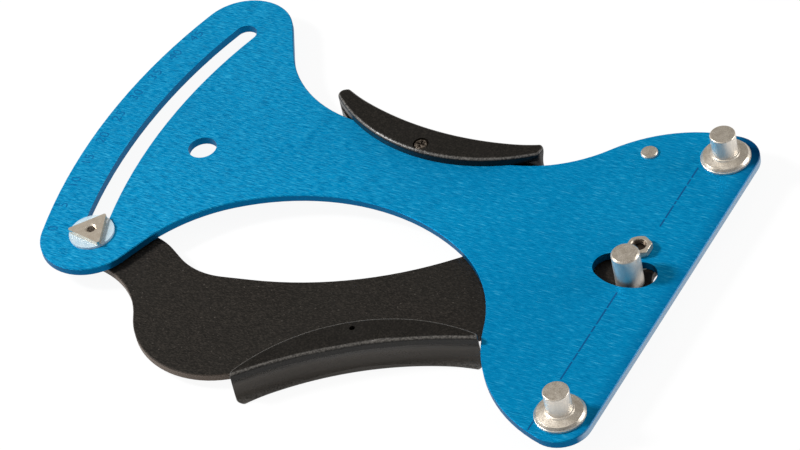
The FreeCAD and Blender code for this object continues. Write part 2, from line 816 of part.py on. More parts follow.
def draw_coved_polygon(sketch, corners, radius):
    """Draw a polygon whose last side, back to the first corner, is an arc of the given radius."""
    points = [FreeCAD.Vector(x.number, y.number) for x, y in corners]
    lines = [sketch.addGeometry(Part.LineSegment(first, last)) for first, last in zip(points, points[1:])]
    chord = points[0] - points[-1]
    middle = (points[0] + points[-1]) / 2
    across = math.sqrt(radius.number**2 - (chord.Length / 2) ** 2)
    centre = middle + left_of(chord).normalize() * across
    circle = Part.Circle(centre, FreeCAD.Vector(0, 0, 1), radius.number)
    ends = sorted((circle.parameter(points[0]), circle.parameter(points[-1])))
    arc = sketch.addGeometry(Part.ArcOfCircle(circle, *ends))
    arc_start = sketch.Geometry[arc].StartPoint
    first_end = 1 if arc_start.isEqual(points[0], TOUCHING) else 2
    sketch.addConstraint(Sketcher.Constraint("Coincident", arc, first_end, lines[0], 1))
    sketch.addConstraint(Sketcher.Constraint("Coincident", arc, 3 - first_end, lines[-1], 2))
    bind(sketch, ("Radius", arc), radius)
    for line, following in zip(lines, lines[1:]):
        sketch.addConstraint(Sketcher.Constraint("Coincident", line, 2, following, 1))
    for line, corner in zip(lines, corners):
        pin_point(sketch, line, 1, corner)
    pin_point(sketch, lines[-1], 2, corners[-1])


def bore_screw_holes(body, top, bottom):
    """Bore the head's seat, the shank's hole and the small vent beyond the screw's end."""
    bores = (
        ("seat", size("screw_head_radius") + gap, seat_depth),
        ("shank_hole", size("screw_shank_radius") + clearance, seat_depth + size("screw_length") + gap),
        ("vent", size("grip_vent_radius"), top - bottom + overrun),
    )
    for name, radius, depth in bores:
        sketch = new_sketch(body, name, top)
        draw_circle(sketch, ZERO, ZERO, radius)
        pocket(body, sketch, depth)



def make_grip_screw(label, place, level, turned_over=False):
    """Pan head screw with a cross recess, pointing down from its head."""
    body = turned_piece(label, [
        (ZERO, -size("screw_length")),
        (size("screw_shank_radius") / 2, -size("screw_length")),
        (size("screw_shank_radius"), size("screw_shank_radius") - size("screw_length")),
        (size("screw_shank_radius"), ZERO),
        (size("screw_head_radius"), ZERO),
        (size("screw_head_radius"), size("screw_head_height") / 2),
        (size("screw_head_radius") * GRIP_SCREW_CROWN_SHARE, size("screw_head_height")),
        (ZERO, size("screw_head_height")),
    ])
    recess = new_sketch(body, "recess", size("screw_head_height") + overrun)
    arm = size("screw_recess_reach")
    half = size("screw_recess_width") / 2
    corners = [(arm, -half), (arm, half), (half, half), (half, arm), (-half, arm), (-half, half)]
    draw_polygon(recess, corners + [(-x, -y) for x, y in corners])
    pocket(body, recess, size("screw_recess_depth") + overrun)
    put(body, place, level, turned_over=turned_over)
    return body


def make_pointer():
    """Triangular plate on the slot, its point towards the scale, tapped for the pointer screw."""
    body = new_body("pointer")
    corner = size("pointer_corner_radius")
    corner_reach = (size("pointer_side") - corner * 2) / math.sqrt(3)
    outline = new_sketch(body, "outline")
    corners = [polar(corner_reach, as_size(HALF_ANGLE + THIRD_ANGLE * step)) for step in range(3)]
    draw_outline(outline, [convex(*place, corner) for place in corners])
    pad(body, outline, size("pointer_thickness"))
    top = size("pointer_thickness")
    hole = new_sketch(body, "hole", top + overrun)
    draw_circle(hole, ZERO, ZERO, size("pointer_hole_radius") + clearance)
    pocket(body, hole, top + overrun * 2)
    sink = new_sketch(body, "sink", role="XZ_Plane")
    draw_polygon(sink, [
        (ZERO, top - size("pointer_sink_depth")),
        (size("pointer_hole_radius"), top - size("pointer_sink_depth")),
        (size("pointer_sink_radius"), top),
        (ZERO, top),
    ])
    revolve(body, sink, cut=True)
    put(body, pointer_place, size("pointer_washer_thickness"), size("lobe_angle") + size("pointer_angle"))
    return body


def make_pointer_screw():
    """Low-headed screw from behind, through the lever and the bush into the pointer."""
    head_bottom = lever_bottom - size("pointer_screw_head_height")
    tip = size("pointer_washer_thickness") + size("pointer_thickness") - size("pointer_screw_drop")
    body = turned_piece("pointer_screw", [
        (ZERO, head_bottom),
        (size("pointer_screw_head_radius") * POINTER_SCREW_CROWN_SHARE, head_bottom),
        (size("pointer_screw_head_radius"), lever_bottom - size("pointer_screw_head_height") / 2),
        (size("pointer_screw_head_radius"), lever_bottom),
        (size("pointer_hole_radius"), lever_bottom),
        (size("pointer_hole_radius"), tip),
        (ZERO, tip),
    ])
    put(body, pointer_place)
    return body


def make_anchor_stud():
    """Riveted stud of the spring: flat face in front, shoulder, neck and head behind."""
    chamfer = size("anchor_face_chamfer")
    face = size("anchor_face_height")
    body = turned_piece("spring_anchor_stud", [
        (ZERO, stud_bottom),
        (size("stud_head_radius"), stud_bottom),
        (size("stud_head_radius"), stud_head_top),
        (size("stud_neck_radius"), stud_head_top),
        (size("stud_neck_radius"), lever_bottom),
        (size("stud_shoulder_radius"), lever_bottom),
        (size("stud_shoulder_radius"), -plate),
        (size("stud_neck_radius"), -plate),
        (size("stud_neck_radius"), ZERO),
        (size("anchor_face_radius"), ZERO),
        (size("anchor_face_radius"), face - chamfer),
        (size("anchor_face_radius") - chamfer, face),
        (ZERO, face),
    ])
    put(body, anchor_place)
    return body


def make_lever_stud():
    """Headed stud under the lever's ear, riveted flush with the lever's top face."""
    body = turned_piece("lever_spring_stud", [
        (ZERO, stud_bottom),
        (size("stud_head_radius"), stud_bottom),
        (size("stud_head_radius"), stud_head_top),
        (size("stud_neck_radius"), stud_head_top),
        (size("stud_neck_radius"), lever_top),
        (ZERO, lever_top),
    ])
    put(body, lever_stud_place)
    return body


def biarc(start, start_direction, end, end_direction):
    """Return two arcs, tangent to each other, that join two places with given directions."""
    chord = end - start
    directions = start_direction + end_direction
    slope = chord.dot(directions)
    spread = 2 * (1 - start_direction.dot(end_direction))
    if spread < TOUCHING:
        reach_out = chord.dot(chord) / (4 * chord.dot(end_direction))
    else:
        reach_out = (math.sqrt(slope**2 + spread * chord.dot(chord)) - slope) / spread
    first_corner = start + start_direction * reach_out
    last_corner = end - end_direction * reach_out
    middle = (first_corner + last_corner) / 2
    edges = []
    halves = ((start, start_direction, middle), (middle, last_corner - first_corner, end))
    for place, direction, goal in halves:
        ray = goal - place
        unit = FreeCAD.Vector(direction).normalize()
        if ray.cross(unit).Length < TOUCHING * ray.Length:
            edges.append(Part.LineSegment(place, goal).toShape())
            continue
        across = (ray - unit * ray.dot(unit)).normalize()
        radius = ray.dot(ray) / (2 * ray.dot(across))
        centre = place + across * radius
        half_way = (place + goal) / 2 - centre
        if ray.dot(unit) < 0:
            half_way = -half_way
        edges.append(Part.Arc(place, centre + half_way.normalize() * radius, goal).toShape())
        spring_bend_radii.append(radius)
    return edges


spring_bend_radii = []


def hook_stop(centre_x, coil, angle):
    """Return the place and direction on a hook's circle, at an angle from its top."""
    place = FreeCAD.Vector(centre_x + coil * math.sin(angle), coil * math.cos(angle), 0)
    return place, FreeCAD.Vector(math.cos(angle), -math.sin(angle), 0)


def spring_route(length):
    """Return places and directions along the spring's wire, from hook to hook along X."""
    coil = SIZES["spring_coil_radius"]
    straight = SIZES["spring_hook_straight"]
    turns = SIZES["spring_turns"]
    hook_turn = math.radians(SIZES["spring_hook_angle"])
    coil_start = coil + straight
    rise = (length - 2 * coil_start) / turns / math.tau
    along = FreeCAD.Vector(1, 0, 0)
    route = [hook_stop(0, coil, -hook_turn * share) for share in HOOK_STEP_SHARES]
    route.append((FreeCAD.Vector(straight, coil, 0), along))
    for step in range(1, 4 * turns):
        angle = step * math.pi / 2
        place = FreeCAD.Vector(coil_start + rise * angle, coil * math.cos(angle), coil * math.sin(angle))
        heading = FreeCAD.Vector(rise, -coil * math.sin(angle), coil * math.cos(angle)).normalize()
        route.append((place, heading))
    route.append((FreeCAD.Vector(length - straight, coil, 0), along))
    route += [hook_stop(length, coil, hook_turn * share) for share in reversed(HOOK_STEP_SHARES)]
    return route


def least_gap(wire, wire_radius):
    """Return the least distance between stretches of the wire that are not neighbours along it."""
    points = wire.discretize(Number=1600)
    skip = int(len(points) * 6 * wire_radius / wire.Length)
    least = math.inf
    for index, point in enumerate(points):
        for other in points[index + skip:index + skip * 12]:
            least = min(least, point.distanceToPoint(other))
    return least - 2 * wire_radius


def make_return_spring():
    """Extension spring of round wire, its two hooks bent round the studs' necks."""
    start = FreeCAD.Vector(anchor_place[0].number, anchor_place[1].number, spring_level.number)
    end = FreeCAD.Vector(lever_stud_place[0].number, lever_stud_place[1].number, spring_level.number)
    wire_radius = SIZES["spring_wire_radius"]
    route = spring_route((end - start).Length)
    edges = []
    for (place, heading), (next_place, next_heading) in zip(route, route[1:]):
        edges += biarc(place, heading, next_place, next_heading)
    tip_place, tip_heading = route[0]
    tail_place, tail_heading = route[-1]
    first_place = tip_place - tip_heading * 2 * wire_radius
    last_place = tail_place + tail_heading * 2 * wire_radius
    edges.insert(0, Part.LineSegment(first_place, tip_place).toShape())
    edges.append(Part.LineSegment(tail_place, last_place).toShape())
    path = Part.Wire(edges)
    section = Part.Wire(Part.Circle(first_place, tip_heading, wire_radius).toShape())
    solid = path.makePipeShell([section], True, False)
    volume_share = solid.Volume / (math.pi * wire_radius**2 * path.Length)
    print(f"spring: least gap {least_gap(path, wire_radius):.2f} mm")
    print(f"spring: tightest bend {min(spring_bend_radii):.2f} mm, volume share {volume_share:.3f}")
    feature = doc.addObject("Part::Feature", "return_spring")
    feature.Label = "return_spring"
    feature.Shape = solid
    turn = FreeCAD.Rotation(FreeCAD.Vector(1, 0, 0), end - start)
    feature.Placement = FreeCAD.Placement(start, turn)
    for axis, cell, value in zip("xyz", FRAME_CELLS, (*anchor_place, spring_level)):
        feature.setExpression(f".Placement.Base.{axis}", f"{value.formula} + Sheet.{cell}")
    return feature


def make_all():
    """Make every sub-part."""
    bore = size("bolt_radius") + clearance
    screw_bore = size("pointer_hole_radius") + clearance
    seat = size("grip_shallow_lip") - seat_depth
    upper_turn = as_size(UPPER_GRIP_ANGLE)
    lower_turn = as_size(LOWER_GRIP_ANGLE)
    washer_radius = size("washer_radius")
    washer_bottom = lever_top + gap
    rear_thickness = size("rear_washer_thickness")
    rear_bottom = lever_bottom - gap - rear_thickness
    clear_radius = size("pointer_washer_radius")
    clear_thickness = size("pointer_washer_thickness") - slide_gap
    bush_radius = size("bush_radius")
    bush_length = size("plate_gap") + plate + slide_gap
    slide_radius = size("slide_washer_radius")
    slide_bore = bush_radius + clearance
    slide_thickness = size("slide_washer_thickness")
    return [
        make_scale_plate(),
        make_lever_plate(),
        make_fixed_post("upper_fixed_post", upper_post),
        make_fixed_post("lower_fixed_post", lower_post),
        make_moving_post(),
        make_pivot_nut(),
        make_pivot_bolt(),
        make_washer("pivot_washer", ORIGIN, washer_radius, bore, washer_bottom, size("plate_gap") - gap),
        make_washer("rear_pivot_washer", ORIGIN, washer_radius, bore, rear_bottom, rear_thickness),
        make_grip("upper_grip", upper_grip_place, plate, ZERO, upper_turn),
        make_grip("lower_grip", lower_grip_place, lever, lever_bottom, lower_turn, turned_over=True),
        make_grip_screw("upper_grip_screw", upper_grip_place, seat),
        make_grip_screw("lower_grip_screw", lower_grip_place, lever_bottom - seat, turned_over=True),
        make_pointer(),
        make_pointer_screw(),
        make_washer("pointer_washer", pointer_place, clear_radius, screw_bore, slide_gap, clear_thickness),
        make_washer("pointer_bush", pointer_place, bush_radius, screw_bore, lever_top, bush_length),
        make_washer("slide_washer", pointer_place, slide_radius, slide_bore, lever_top, slide_thickness),
        make_anchor_stud(),
        make_lever_stud(),
        make_return_spring(),
    ]


def settle_frame(pieces):
    """Move the whole tool so that the middle of its box, at its lowest point, is the origin."""
    box = FreeCAD.BoundBox()
    for piece in pieces:
        box.add(piece.Shape.optimalBoundingBox(False))
    shifts = (-box.Center.x, -box.Center.y, -box.ZMin)
    for row, shift in enumerate(shifts, start=len(SIZES) + 1):
        sheet.set(f"B{row}", repr(shift))
    doc.recompute()
    print("frame shift", *(round(shift, 4) for shift in shifts))


def check(pieces):
    """Stop if anything in the document failed or any sub-part is not one valid solid."""
    for item in doc.Objects:
        if "Invalid" in item.State or "Error" in item.State:
            raise RuntimeError(f"{item.Name} failed: {item.State}")
    for piece in pieces:
        shape = piece.Shape
        if shape.isNull() or not shape.isValid() or len(shape.Solids) != 1:
            raise RuntimeError(f"{piece.Label} is not one valid solid")


def export(pieces):
    """Write each sub-part to its own file."""
    os.makedirs("parts", exist_ok=True)
    for piece in pieces:
        piece.Shape.exportStep(f"parts/{piece.Label}.step")


sub_parts = make_all()
doc.recompute()
check(sub_parts)
settle_frame(sub_parts)
check(sub_parts)
export(sub_parts)
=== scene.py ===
"""Spoke tension meter, dressed piece by piece in the order in which it is put together.

Metres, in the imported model's frame: X along the tool, Y along the spoke, Z up out of the scale's face.
"""
import math

import bmesh
import bpy
import numpy as np
from mathutils import Matrix, Vector


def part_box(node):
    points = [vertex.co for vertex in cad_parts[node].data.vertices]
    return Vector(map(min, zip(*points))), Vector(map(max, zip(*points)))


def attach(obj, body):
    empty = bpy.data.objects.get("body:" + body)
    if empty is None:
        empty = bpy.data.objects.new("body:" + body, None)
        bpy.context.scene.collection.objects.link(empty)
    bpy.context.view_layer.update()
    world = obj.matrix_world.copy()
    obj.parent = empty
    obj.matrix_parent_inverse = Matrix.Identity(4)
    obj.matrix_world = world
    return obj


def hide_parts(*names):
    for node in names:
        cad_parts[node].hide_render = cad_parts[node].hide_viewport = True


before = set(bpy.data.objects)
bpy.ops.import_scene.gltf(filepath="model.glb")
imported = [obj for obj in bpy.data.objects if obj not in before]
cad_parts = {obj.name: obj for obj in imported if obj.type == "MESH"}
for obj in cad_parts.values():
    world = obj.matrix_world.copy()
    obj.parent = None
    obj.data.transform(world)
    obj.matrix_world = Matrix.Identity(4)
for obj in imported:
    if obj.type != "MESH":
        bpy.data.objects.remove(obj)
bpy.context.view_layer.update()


# Scale plate. Every other piece is carried by this plate: 3 mm aluminium sheet, cut to its outline,
# brushed in short strokes along the tool and anodised blue. Its cut walls are painted darker, as shade.
mm = 0.001


def add_node(tree, kind, inputs=(), **settings):
    """Add one shader node, and set or link its inputs by their names."""
    item = tree.nodes.new(kind)
    for setting, value in settings.items():
        setattr(item, setting, value)
    for socket, value in dict(inputs).items():
        if isinstance(value, bpy.types.NodeSocket):
            tree.links.new(value, item.inputs[socket])
        else:
            item.inputs[socket].default_value = value
    return item


def new_finish(name, metallic, **fixed):
    """Start a material. Numbers that hold all over the surface are set on the shader's own sockets."""
    material = bpy.data.materials.new(name)
    material.use_nodes = True
    shader = material.node_tree.nodes["Principled BSDF"]
    shader.inputs["Metallic"].default_value = metallic
    for socket, value in fixed.items():
        shader.inputs[socket.replace("_", " ")].default_value = value
    return material, material.node_tree, shader


def grain(tree, lengths, detail=2.0, source="Object"):
    """Noise whose grains have the given lengths along the three axes: place divided by length."""
    place = add_node(tree, "ShaderNodeTexCoord").outputs[source]
    scales = [1.0 / size for size in lengths]
    divided = add_node(tree, "ShaderNodeMapping", {"Vector": place, "Scale": scales}).outputs[0]
    noise = add_node(tree, "ShaderNodeTexNoise", {"Vector": divided, "Scale": 1.0, "Detail": detail})
    return noise.outputs["Fac"]


def shade(tree, number, *stops):
    """Colour that follows a number through its stops, each a number and a linear colour."""
    ramp = add_node(tree, "ShaderNodeValToRGB", {"Fac": number})
    points = ramp.color_ramp.elements
    while len(points) < len(stops):
        points.new(0.5)
    for point, (position, colour) in zip(points, stops):
        point.position = position
        point.color = (*colour, 1.0)
    return ramp.outputs["Color"]


def spread(tree, number, low, high, span=(0.3, 0.7)):
    """Number moved in a straight line from the span to the range from low to high."""
    limits = {"Value": number, "From Min": span[0], "From Max": span[1], "To Min": low, "To Max": high}
    return add_node(tree, "ShaderNodeMapRange", limits).outputs["Result"]


def worked_out(tree, operation, first, second=0.0):
    """Number got from one or two others by the named operation."""
    return add_node(tree, "ShaderNodeMath", {0: first, 1: second}, operation=operation).outputs[0]


def mixed(tree, amount, first, second):
    """First colour, going over into the second as amount goes from 0 to 1."""
    mix = tree.nodes.new("ShaderNodeMix")
    mix.data_type = "RGBA"
    for socket, value in ((mix.inputs[0], amount), (mix.inputs[6], first), (mix.inputs[7], second)):
        if isinstance(value, bpy.types.NodeSocket):
            tree.links.new(value, socket)
        elif isinstance(value, tuple):
            socket.default_value = (*value, 1.0)
        else:
            socket.default_value = value
    return mix.outputs[2]


def add_bump(tree, shader, height, depth, strength=1.0):
    """Tilt the surface by a height pattern of the given depth in metres."""
    bump = add_node(tree, "ShaderNodeBump", {"Height": height, "Distance": depth, "Strength": strength})
    tree.links.new(bump.outputs["Normal"], shader.inputs["Normal"])


def dress(node, material):
    """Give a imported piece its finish."""
    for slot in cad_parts[node].material_slots:
        slot.material = material


def upward(tree):
    """How far a surface faces up or down: 1 on the flat faces and 0 on the cut walls."""
    normal = add_node(tree, "ShaderNodeNewGeometry").outputs["Normal"]
    upright_part = add_node(tree, "ShaderNodeSeparateXYZ", {"Vector": normal}).outputs["Z"]
    return worked_out(tree, "ABSOLUTE", upright_part)


def place_parts(tree):
    """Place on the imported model, as its three separate coordinates."""
    place = add_node(tree, "ShaderNodeTexCoord").outputs["Object"]
    return add_node(tree, "ShaderNodeSeparateXYZ", {"Vector": place}).outputs


straight_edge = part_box("scale_plate")[1].x
far_corner_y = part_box("upper_fixed_post")[1].y


def brushed_blue():
    """Blue anodised sheet with short brush strokes along X and broad soft changes. The strokes stand out
    more at the scale's end. Painted shade darkens the face near the straight edge and the cut walls, a
    painted shadow darkens its far corner, and the straight edge's own wall has a painted highlight."""
    material, tree, shader = new_finish("brushed_blue_anodising", 0.25, Specular_IOR_Level=0.0)
    strokes = grain(tree, (5.2 * mm, 0.42 * mm, 5 * mm), 3.0)
    hairs = grain(tree, (2.4 * mm, 0.16 * mm, 5 * mm), 2.0)
    clouds = grain(tree, (55 * mm, 38 * mm, 30 * mm), 1.0)
    stroke_colour = shade(tree, strokes, (0.32, (0.0, 0.138, 0.318)), (0.48, (0.0, 0.204, 0.428)),
                          (0.60, (0.001, 0.268, 0.520)), (0.74, (0.085, 0.520, 0.760)))
    hair_colour = shade(tree, hairs, (0.34, (0.0, 0.126, 0.300)), (0.50, (0.0, 0.200, 0.420)),
                        (0.70, (0.030, 0.410, 0.670)))
    face = mixed(tree, 0.45, stroke_colour, hair_colour)
    face = mixed(tree, spread(tree, clouds, 0.0, 0.3), face, (0.0, 0.135, 0.315))
    flatness = spread(tree, upward(tree), 0.0, 1.0, (0.35, 0.8))
    parts = place_parts(tree)
    along = parts["X"]
    near_scale = spread(tree, along, 1.0, 0.0, (straight_edge - 190 * mm, straight_edge - 70 * mm))
    dark_strokes = spread(tree, strokes, 0.7, 0.0, (0.36, 0.50))
    darkness = worked_out(tree, "MULTIPLY", near_scale, dark_strokes)
    face = mixed(tree, darkness, face, (0.0, 0.115, 0.270))
    pale_strokes = spread(tree, hairs, 0.0, 0.5, (0.50, 0.66))
    paleness = worked_out(tree, "MULTIPLY", near_scale, pale_strokes)
    face = mixed(tree, paleness, face, (0.045, 0.380, 0.570))
    # painted shade: the face darkens over the last 5.5 mm towards the straight edge
    painted_edge_shade = spread(tree, along, 0.0, 0.42, (straight_edge - 5.5 * mm, straight_edge))
    face = mixed(tree, painted_edge_shade, face, (0.0, 0.060, 0.190))
    # painted shadow of the upper fixed post: the face goes dark navy in the far corner by the straight edge
    near_edge = spread(tree, along, 0.0, 0.85, (straight_edge - 20 * mm, straight_edge - 8 * mm))
    near_end = spread(tree, parts["Y"], 0.0, 1.0, (far_corner_y - 17 * mm, far_corner_y - 3 * mm))
    corner = worked_out(tree, "MULTIPLY", near_edge, near_end)
    face = mixed(tree, corner, face, (0.0, 0.022, 0.095))
    # painted highlight: the straight edge's own wall is coloured pale, as if lit from the right
    painted_wall_highlight = spread(tree, along, 0.0, 1.0, (straight_edge - 2.0 * mm, straight_edge - 0.5 * mm))
    # painted shade: the cut walls get a darker blue than the face, and the straight edge's wall the painted
    # highlight
    wall = mixed(tree, painted_wall_highlight, (0.0, 0.110, 0.262), (0.260, 0.370, 0.490))
    colour = mixed(tree, flatness, wall, face)
    tree.links.new(colour, shader.inputs["Base Color"])
    tree.links.new(spread(tree, flatness, 0.7, 0.25, (0.0, 1.0)), shader.inputs["Metallic"])
    tree.links.new(spread(tree, hairs, 0.36, 0.52), shader.inputs["Roughness"])
    add_bump(tree, shader, strokes, 0.02 * mm, 0.55)
    return material


dress("scale_plate", brushed_blue())


# Scale figures and spoke line. Thin dark blue marks etched through the dye: the figures 0 to 45 in
# fives stand outside the slot, their tops outwards, and a broken line shows where the spoke lies.
plate_low, plate_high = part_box("scale_plate")
pivot_low, pivot_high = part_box("pivot_washer")
pivot = (pivot_low + pivot_high) / 2
plate_top = plate_high.z
plate_thickness = plate_high.z - plate_low.z
figure_radius = 210.6 * mm
figure_height = 3.7 * mm
capital_share = 0.7
letter_spacing = 1.1
figure_count = 10
figure_interval = 5
mark_lift = 0.015 * mm

# The figures' angles, in degrees at the pivot from the tool's length, rise towards the slot's far end.
first_figure_angle = -15.7
figure_step = 3.2

# Ends of the spoke line's dashes, in millimetres along Y from the pivot.
spoke_line_x = 1.55 * mm
spoke_line_width = 0.6 * mm
spoke_dashes = (
    (42.6, 37.4), (36.6, 33.9), (33.0, 25.9), (25.2, 23.8), (23.0, 16.8), (16.1, 12.4),
    (-20.6, -28.2), (-28.9, -36.3), (-37.1, -40.0), (-40.9, -49.5), (-50.2, -53.6),
    (-54.4, -62.9), (-77.8, -81.4), (-82.0, -86.6),
)


def etched_mark(name, dark, light):
    """Dark blue mark, a little uneven where the brush strokes show through."""
    material, tree, shader = new_finish(name, 0.3, Specular_IOR_Level=0.1)
    strokes = grain(tree, (2.6 * mm, 0.2 * mm, 5 * mm), 2.0)
    colour = shade(tree, strokes, (0.32, dark), (0.70, light))
    tree.links.new(colour, shader.inputs["Base Color"])
    tree.links.new(spread(tree, strokes, 0.42, 0.6), shader.inputs["Roughness"])
    add_bump(tree, shader, strokes, 0.01 * mm)
    return material


def flat_figure(number, angle):
    """Mesh of one figure, its middle at the figures' radius and its top pointing away from the pivot."""
    curve = bpy.data.curves.new(f"figure_{number}", "FONT")
    curve.body = str(number)
    curve.size = figure_height / capital_share
    curve.align_x = "CENTER"
    curve.align_y = "CENTER"
    curve.space_character = letter_spacing
    holder = bpy.data.objects.new(f"figure_{number}", curve)
    mesh = bpy.data.meshes.new_from_object(holder)
    bpy.data.objects.remove(holder)
    turn = math.radians(90.0 - angle)
    lean = math.radians(angle)
    middle = Vector((-figure_radius * math.cos(lean), figure_radius * math.sin(lean), 0))
    place = Vector((pivot.x, pivot.y, plate_top + mark_lift))
    mesh.transform(Matrix.Translation(place + middle) @ Matrix.Rotation(turn, 4, "Z"))
    return mesh


def joined_piece(name, meshes, material):
    """Join meshes that are already in place into one piece."""
    shape = bmesh.new()
    for mesh in meshes:
        shape.from_mesh(mesh)
        bpy.data.meshes.remove(mesh)
    mesh = bpy.data.meshes.new(name)
    shape.to_mesh(mesh)
    shape.free()
    mesh.materials.clear()
    mesh.materials.append(material)
    piece = bpy.data.objects.new(name, mesh)
    bpy.context.scene.collection.objects.link(piece)
    return piece


def dash_mesh(start, end):
    """Thin upright-sided bar from one end of a dash to the other, its lower half in the plate."""
    shape = bmesh.new()
    bmesh.ops.create_cube(shape, size=1.0)
    mesh = bpy.data.meshes.new("dash")
    shape.to_mesh(mesh)
    shape.free()
    sizes = Matrix.Diagonal((spoke_line_width, abs(end - start) * mm, 2 * mark_lift, 1))
    middle = Vector((pivot.x + spoke_line_x, pivot.y + (start + end) / 2 * mm, plate_top))
    mesh.transform(Matrix.Translation(middle) @ sizes)
    return mesh


figure_finish = etched_mark("etched_figure_blue", (0.0, 0.080, 0.220), (0.001, 0.170, 0.390))
line_finish = etched_mark("etched_line_blue", (0.001, 0.060, 0.180), (0.002, 0.120, 0.310))
figures = [
    flat_figure(figure_interval * step, first_figure_angle + figure_step * step)
    for step in range(figure_count)
]
scale_figures = joined_piece("scale_figures", figures, figure_finish)
thicken = scale_figures.modifiers.new("thickness", "SOLIDIFY")
thicken.thickness = 2 * mark_lift
thicken.offset = -1.0
spoke_line = joined_piece("spoke_line", [dash_mesh(*dash) for dash in spoke_dashes], line_finish)
for mark in (scale_figures, spoke_line):
    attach(mark, "scale_body")


# Fixed posts. Two turned steel posts at the ends of the straight edge, riveted through the plate. Each
# has a straight shank, a small root ring, a shallow cone and a bevelled rim with fine turning marks.
post_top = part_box("upper_fixed_post")[1].z - plate_top
post_shank = 4.48 * mm
root_radius = 5.0 * mm
root_height = 3.0 * mm
cone_radius = 8.5 * mm
cone_height = 1.15 * mm
post_rim = 8.75 * mm
rim_height = 0.8 * mm
spigot_radius = 3.6 * mm
rivet_radius = 4.9 * mm
rivet_depth = 0.9 * mm
rivet_foot = -plate_thickness - rivet_depth


def rounded_profile(corners, steps=6):
    """Half profile of a turned piece: each corner, given as radius, height and rounding, becomes an arc
    from one side to the next. Its middle lies between the sides, at rounding over sine of half the angle."""
    points = []
    places = np.array([corner[:2] for corner in corners], float)
    for index, here in enumerate(places):
        rounding = corners[index][2]
        if rounding == 0 or index in (0, len(corners) - 1):
            points.append(here[None])
            continue
        before = places[index - 1] - here
        after = places[index + 1] - here
        before = before / np.linalg.norm(before)
        after = after / np.linalg.norm(after)
        half = math.acos(np.clip(before @ after, -1, 1)) / 2
        centre_way = (before + after) / np.linalg.norm(before + after)
        centre = here + centre_way * rounding / math.sin(half)
        first = here + before * rounding / math.tan(half) - centre
        last = here + after * rounding / math.tan(half) - centre
        share = np.linspace(0, 1, steps)[:, None]
        chord = first * (1 - share) + last * share
        points.append(centre + chord / np.linalg.norm(chord, axis=1)[:, None] * rounding)
    return np.concatenate(points)


def grid_mesh(name, places):
    """Surface through a grid of places, one face for each cell. Its UV map holds the share of a turn
    and the length along the rows in centimetres. Places that meet, at seams and poles, become one."""
    rows, columns = places.shape[:2]
    corner = np.arange(rows * columns).reshape(rows, columns)
    cells = np.stack([corner[:-1, :-1], corner[:-1, 1:], corner[1:, 1:], corner[1:, :-1]], -1).reshape(-1, 4)
    mesh = bpy.data.meshes.new(name)
    mesh.from_pydata(places.reshape(-1, 3), [], cells.tolist())
    along = np.concatenate([[0], np.cumsum(np.linalg.norm(np.diff(places[:, 0], axis=0), axis=1))]) * 100
    across = np.linspace(0, 1, columns)
    surface = np.stack(np.meshgrid(across, along), -1).reshape(-1, 2)
    layer = mesh.uv_layers.new(name="surface")
    layer.data.foreach_set("uv", surface[cells.ravel()].ravel().astype(np.float32))
    shape = bmesh.new()
    shape.from_mesh(mesh)
    bmesh.ops.remove_doubles(shape, verts=shape.verts, dist=1e-7)
    bmesh.ops.recalc_face_normals(shape, faces=shape.faces)
    shape.to_mesh(mesh)
    shape.free()
    mesh.shade_smooth()
    mesh.set_sharp_from_angle(angle=math.radians(32))
    return mesh


def ring_mesh(name, centre, angle, radius, heights):
    """Surface whose rows run round the centre's upright axis, at the given radii and heights over it."""
    x = centre.x + radius * np.cos(angle)
    y = centre.y + radius * np.sin(angle)
    z = centre.z + heights + 0 * angle
    return grid_mesh(name, np.stack([x, y, z], -1))


def turned_mesh(name, centre, profile, columns=96):
    """Surface of revolution: each profile point (radius, height) runs once round the axis."""
    angle = np.linspace(0, math.tau, columns + 1)
    return ring_mesh(name, centre, angle, profile[:, 0][:, None], profile[:, 1][:, None])


def turned_steel():
    """Turned steel: fine rings that follow the profile's length, a fine grit and a soft, broad shine. The
    upright shanks are more satin, and their colour is painted paler as a painted sheen."""
    material, tree, shader = new_finish("turned_steel", 0.88)
    rings = grain(tree, (6.0, 0.028, 1.0), 3.0, "UV")
    blotches = grain(tree, (2.2 * mm, 2.2 * mm, 1.8 * mm), 2.0)
    grit = grain(tree, (0.40 * mm, 0.40 * mm, 0.40 * mm), 3.0)
    colour = shade(tree, blotches, (0.3, (0.68, 0.61, 0.505)), (0.7, (0.78, 0.715, 0.615)))
    colour = mixed(tree, spread(tree, grit, 0.0, 0.55, (0.42, 0.66)), colour, (0.38, 0.31, 0.26))
    # painted sheen: upright walls are coloured paler than the flat faces
    upright = spread(tree, upward(tree), 0.6, 0.0, (0.15, 0.6))
    colour = mixed(tree, upright, colour, (0.84, 0.79, 0.72))
    tree.links.new(colour, shader.inputs["Base Color"])
    satin = worked_out(tree, "MULTIPLY", upright, 0.22)
    roughness = worked_out(tree, "ADD", spread(tree, blotches, 0.31, 0.40), satin)
    tree.links.new(roughness, shader.inputs["Roughness"])
    add_bump(tree, shader, worked_out(tree, "ADD", rings, grit), 0.012 * mm, 0.7)
    return material


